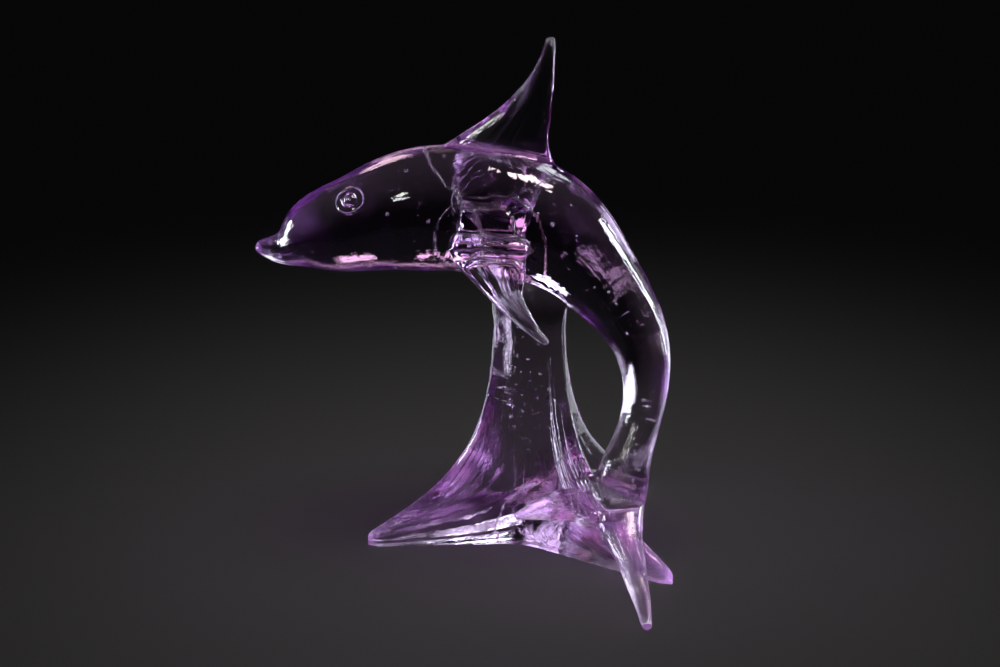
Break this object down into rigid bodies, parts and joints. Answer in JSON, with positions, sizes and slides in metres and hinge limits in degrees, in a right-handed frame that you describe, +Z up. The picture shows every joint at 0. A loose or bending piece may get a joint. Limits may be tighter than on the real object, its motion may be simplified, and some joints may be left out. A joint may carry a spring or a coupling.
{
  "type": "glass dolphin figurine",
  "caption": "Hot-worked lilac glass dolphin with a raised back fin and folded side fins, arching from a three-lobed stem on a three-footed star base to its flukes.",
  "frame": {"origin": "on the flat underside, below the middle of the stem", "axes": "+Z up from the underside to the back fin; the dolphin's beak points to -X and its front fluke to -Y"},
  "size_m": [0.1592, 0.1232, 0.1992],
  "materials": {
    "lilac_glass": "clear fire-polished lilac glass"
  },
  "bodies": {
    "root": {"glass_dolphin": "lilac_glass"}
  },
  "joints": []
}
